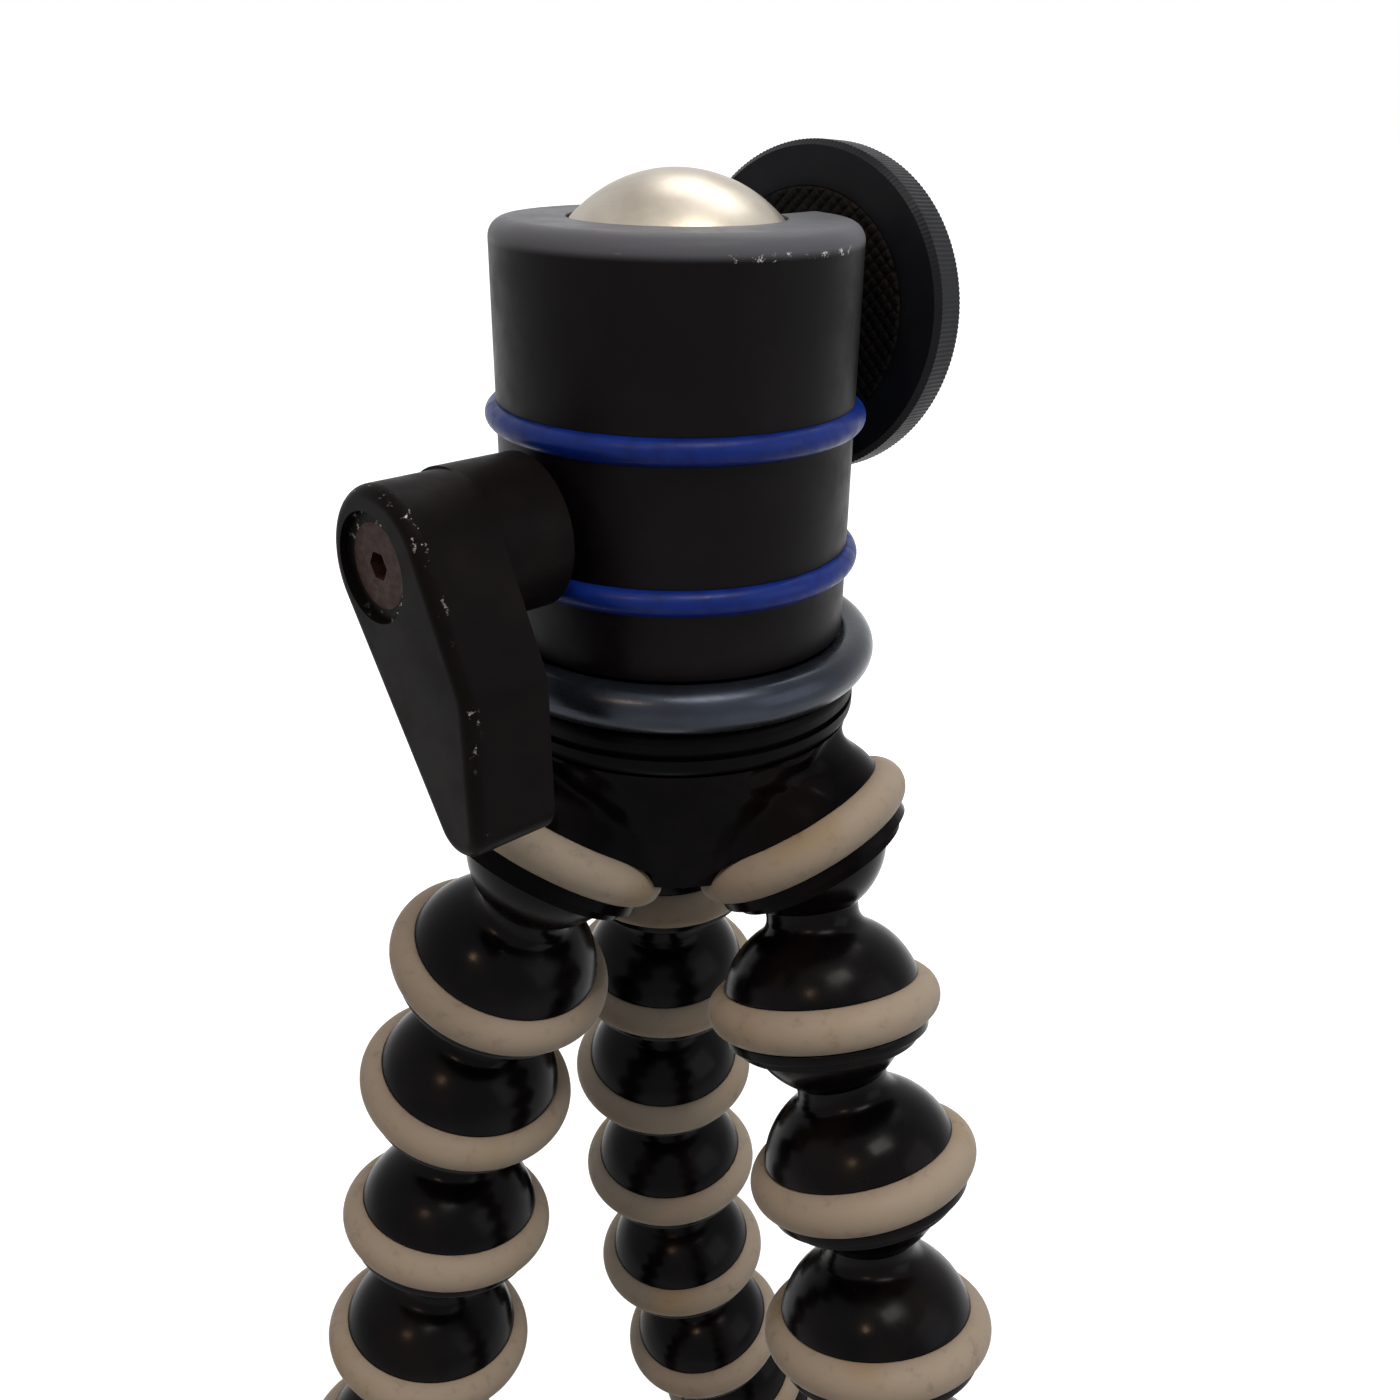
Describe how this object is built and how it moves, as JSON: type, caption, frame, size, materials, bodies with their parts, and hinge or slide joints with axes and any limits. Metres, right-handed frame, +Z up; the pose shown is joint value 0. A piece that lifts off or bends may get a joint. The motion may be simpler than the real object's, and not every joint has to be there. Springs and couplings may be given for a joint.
{
  "type": "camera tripod",
  "caption": "Small camera tripod with bendable ball-and-socket legs, rubber grip rings, a ball head with a drop notch, a clamping lever and a round camera platform.",
  "frame": {"origin": "middle of the footprint box, on the floor plane that the three soles rest on", "axes": "+Z up along the ball head's housing, +X to the viewer's right and +Y away from the viewer in the picture"},
  "size_m": [0.145, 0.1352, 0.316],
  "materials": {
    "grip_rubber": "smooth beige rubber, slightly soiled",
    "leg_plastic": "glossy black injection-moulded plastic",
    "blue_rubber": "deep blue moulded rubber",
    "black_rubber": "patterned black rubber",
    "slide_plastic": "matt low-friction plastic",
    "satin_metal": "turned and satin plated",
    "plain_steel": "turned steel",
    "dark_steel": "blackened steel, worn brown",
    "ring_metal": "smooth anodised, blue-grey",
    "black_metal": "satin black anodised"
  },
  "bodies": {
    "hub": {"hub_shell": "leg_plastic", "hub_grip_left": "grip_rubber", "hub_grip_right": "grip_rubber", "hub_grip_back": "grip_rubber", "hub_cap": "leg_plastic", "base_screw": "plain_steel", "base_plate": "black_metal", "base_washer": "black_rubber", "head_base": "black_metal", "housing": "black_metal", "upper_oring": "blue_rubber", "lower_oring": "blue_rubber", "upper_seat": "slide_plastic", "pressure_ring": "slide_plastic", "shaft_bush": "slide_plastic"},
    "lock_ring": {"lock_ring": "ring_metal"},
    "ball": {"ball": "satin_metal"},
    "platform": {"platform_disc": "black_metal", "platform_pad": "black_rubber", "under_grip": "black_rubber", "camera_screw": "plain_steel"},
    "lever": {"lever": "black_metal", "lever_screw": "dark_steel", "cam_shaft": "plain_steel"},
    "leg_left_1": {"leg_left_segment_1": "leg_plastic"},
    "leg_left_2": {"leg_left_segment_2": "leg_plastic"},
    "leg_left_3": {"leg_left_segment_3": "leg_plastic"},
    "leg_left_4": {"leg_left_segment_4": "leg_plastic"},
    "leg_left_5": {"leg_left_segment_5": "leg_plastic"},
    "leg_left_6": {"leg_left_segment_6": "leg_plastic"},
    "leg_left_7": {"leg_left_segment_7": "leg_plastic"},
    "leg_left_8": {"leg_left_segment_8": "leg_plastic"},
    "leg_left_foot": {"leg_left_foot": "leg_plastic", "leg_left_shoe": "grip_rubber"},
    "leg_right_1": {"leg_right_segment_1": "leg_plastic"},
    "leg_right_2": {"leg_right_segment_2": "leg_plastic"},
    "leg_right_3": {"leg_right_segment_3": "leg_plastic"},
    "leg_right_4": {"leg_right_segment_4": "leg_plastic"},
    "leg_right_5": {"leg_right_segment_5": "leg_plastic"},
    "leg_right_6": {"leg_right_segment_6": "leg_plastic"},
    "leg_right_7": {"leg_right_segment_7": "leg_plastic"},
    "leg_right_8": {"leg_right_segment_8": "leg_plastic"},
    "leg_right_foot": {"leg_right_foot": "leg_plastic", "leg_right_shoe": "grip_rubber"},
    "leg_back_1": {"leg_back_segment_1": "leg_plastic"},
    "leg_back_2": {"leg_back_segment_2": "leg_plastic"},
    "leg_back_3": {"leg_back_segment_3": "leg_plastic"},
    "leg_back_4": {"leg_back_segment_4": "leg_plastic"},
    "leg_back_5": {"leg_back_segment_5": "leg_plastic"},
    "leg_back_6": {"leg_back_segment_6": "leg_plastic"},
    "leg_back_7": {"leg_back_segment_7": "leg_plastic"},
    "leg_back_8": {"leg_back_segment_8": "leg_plastic"},
    "leg_back_foot": {"leg_back_foot": "leg_plastic", "leg_back_shoe": "grip_rubber"}
  },
  "joints": [
    {"name": "lock_ring_turn", "type": "hinge", "parent": "hub", "child": "lock_ring", "pos_m": [0.0089, 0.00033, 0.24927], "axis": [0, 0, 1], "continuous": true},
    {"name": "ball_tilt", "type": "hinge", "parent": "hub", "child": "ball", "pos_m": [0.0089, 0.00033, 0.29537], "axis": [0.7478, -0.6639, 0], "range_deg": [0, 121.5]},
    {"name": "platform_spin", "type": "hinge", "parent": "ball", "child": "platform", "pos_m": [0.0089, 0.00033, 0.29537], "axis": [0.6627, 0.7464, -0.061], "continuous": true},
    {"name": "lever_turn", "type": "hinge", "parent": "hub", "child": "lever", "pos_m": [-0.00927, -0.01685, 0.27317], "axis": [-0.7266, -0.6871, 0], "range_deg": [-15, 90]},
    {"name": "left_bend_1", "type": "hinge", "parent": "hub", "child": "leg_left_1", "pos_m": [-0.00818, -0.01119, 0.22547], "axis": [0.475, -0.8306, -0.2907], "range_deg": [-25, 4]},
    {"name": "left_bend_2", "type": "hinge", "parent": "leg_left_1", "child": "leg_left_2", "pos_m": [-0.01718, -0.00809, 0.20192], "axis": [-0.8159, -0.5503, 0.1776], "range_deg": [-25, 24]},
    {"name": "left_bend_3", "type": "hinge", "parent": "leg_left_2", "child": "leg_left_3", "pos_m": [-0.02387, -0.00604, 0.17751], "axis": [-0.5622, 0.8268, -0.0177], "range_deg": [-25, 25]},
    {"name": "left_bend_4", "type": "hinge", "parent": "leg_left_3", "child": "leg_left_4", "pos_m": [-0.02797, -0.00937, 0.15266], "axis": [0.8143, 0.5492, -0.188], "range_deg": [-25, 25]},
    {"name": "left_bend_5", "type": "hinge", "parent": "leg_left_4", "child": "leg_left_5", "pos_m": [-0.0324, -0.01134, 0.12773], "axis": [0.5522, -0.8331, -0.0327], "range_deg": [-25, 25]},
    {"name": "left_bend_6", "type": "hinge", "parent": "leg_left_5", "child": "leg_left_6", "pos_m": [-0.03793, -0.01403, 0.10308], "axis": [-0.7995, -0.5393, 0.2646], "range_deg": [-25, 25]},
    {"name": "left_bend_7", "type": "hinge", "parent": "leg_left_6", "child": "leg_left_7", "pos_m": [-0.04389, -0.01721, 0.0786], "axis": [-0.5545, 0.832, 0.0189], "range_deg": [-25, 25]},
    {"name": "left_bend_8", "type": "hinge", "parent": "leg_left_7", "child": "leg_left_8", "pos_m": [-0.05011, -0.0208, 0.05423], "axis": [0.7912, 0.5336, -0.2988], "range_deg": [-25, 25]},
    {"name": "left_bend_foot", "type": "hinge", "parent": "leg_left_8", "child": "leg_left_foot", "pos_m": [-0.0567, -0.0246, 0.03], "axis": [0.5592, -0.829, 0], "range_deg": [-25, 12]},
    {"name": "right_bend_1", "type": "hinge", "parent": "hub", "child": "leg_right_1", "pos_m": [0.02741, -0.0087, 0.22547], "axis": [0.4889, 0.8372, -0.245], "range_deg": [-25, 8]},
    {"name": "right_bend_2", "type": "hinge", "parent": "leg_right_1", "child": "leg_right_2", "pos_m": [0.03082, -0.01758, 0.20192], "axis": [0.838, -0.4087, 0.3615], "range_deg": [-25, 23]},
    {"name": "right_bend_3", "type": "hinge", "parent": "leg_right_2", "child": "leg_right_3", "pos_m": [0.0372, -0.02519, 0.17854], "axis": [-0.4751, -0.8499, 0.2278], "range_deg": [-22, 25]},
    {"name": "right_bend_4", "type": "hinge", "parent": "leg_right_3", "child": "leg_right_4", "pos_m": [0.03976, -0.03305, 0.15453], "axis": [-0.8802, 0.4293, -0.2024], "range_deg": [-24, 25]},
    {"name": "right_bend_5", "type": "hinge", "parent": "leg_right_4", "child": "leg_right_5", "pos_m": [0.04283, -0.03837, 0.12988], "axis": [0.4519, 0.8876, -0.0895], "range_deg": [-25, 25]},
    {"name": "right_bend_6", "type": "hinge", "parent": "leg_right_5", "child": "leg_right_6", "pos_m": [0.04608, -0.04253, 0.10503], "axis": [0.884, -0.4311, 0.1808], "range_deg": [-25, 25]},
    {"name": "right_bend_7", "type": "hinge", "parent": "leg_right_6", "child": "leg_right_7", "pos_m": [0.04951, -0.04596, 0.0801], "axis": [-0.4444, -0.8949, 0.0414], "range_deg": [-25, 25]},
    {"name": "right_bend_8", "type": "hinge", "parent": "leg_right_7", "child": "leg_right_8", "pos_m": [0.05289, -0.0488, 0.05509], "axis": [-0.888, 0.4331, -0.1546], "range_deg": [-25, 25]},
    {"name": "right_bend_foot", "type": "hinge", "parent": "leg_right_8", "child": "leg_right_foot", "pos_m": [0.05614, -0.05108, 0.03], "axis": [0.4384, 0.8988, 0], "range_deg": [-25, 21]},
    {"name": "back_bend_1", "type": "hinge", "parent": "hub", "child": "leg_back_1", "pos_m": [0.00746, 0.02088, 0.22547], "axis": [-0.9976, -0.0687, -0.0084], "range_deg": [-25, 2]},
    {"name": "back_bend_2", "type": "hinge", "parent": "leg_back_1", "child": "leg_back_2", "pos_m": [0.00746, 0.02398, 0.20026], "axis": [-0.0691, 0.9879, 0.1392], "range_deg": [-25, 25]},
    {"name": "back_bend_3", "type": "hinge", "parent": "leg_back_2", "child": "leg_back_3", "pos_m": [0.00722, 0.0275, 0.17511], "axis": [0.9976, 0.0681, 0.012], "range_deg": [-25, 25]},
    {"name": "back_bend_4", "type": "hinge", "parent": "leg_back_3", "child": "leg_back_4", "pos_m": [0.00728, 0.03104, 0.14996], "axis": [0.0697, -0.9972, -0.0284], "range_deg": [-25, 25]},
    {"name": "back_bend_5", "type": "hinge", "parent": "leg_back_4", "child": "leg_back_5", "pos_m": [0.00884, 0.03187, 0.12462], "axis": [-0.9921, -0.0692, -0.1045], "range_deg": [-25, 25]},
    {"name": "back_bend_6", "type": "hinge", "parent": "leg_back_5", "child": "leg_back_6", "pos_m": [0.01149, 0.0321, 0.09936], "axis": [-0.0697, 0.9974, 0.0189], "range_deg": [-23, 25]},
    {"name": "back_bend_7", "type": "hinge", "parent": "leg_back_6", "child": "leg_back_7", "pos_m": [0.0168, 0.03294, 0.07453], "axis": [0.9535, -0.0439, 0.298], "range_deg": [-25, 10]},
    {"name": "back_bend_8", "type": "hinge", "parent": "leg_back_7", "child": "leg_back_8", "pos_m": [0.02427, 0.04184, 0.05195], "axis": [0.0628, -0.8983, -0.4349], "range_deg": [-25, 25]},
    {"name": "back_bend_foot", "type": "hinge", "parent": "leg_back_8", "child": "leg_back_foot", "pos_m": [0.03066, 0.05292, 0.03], "axis": [-0.9976, -0.0698, 0], "range_deg": [-25, 0]}
  ]
}
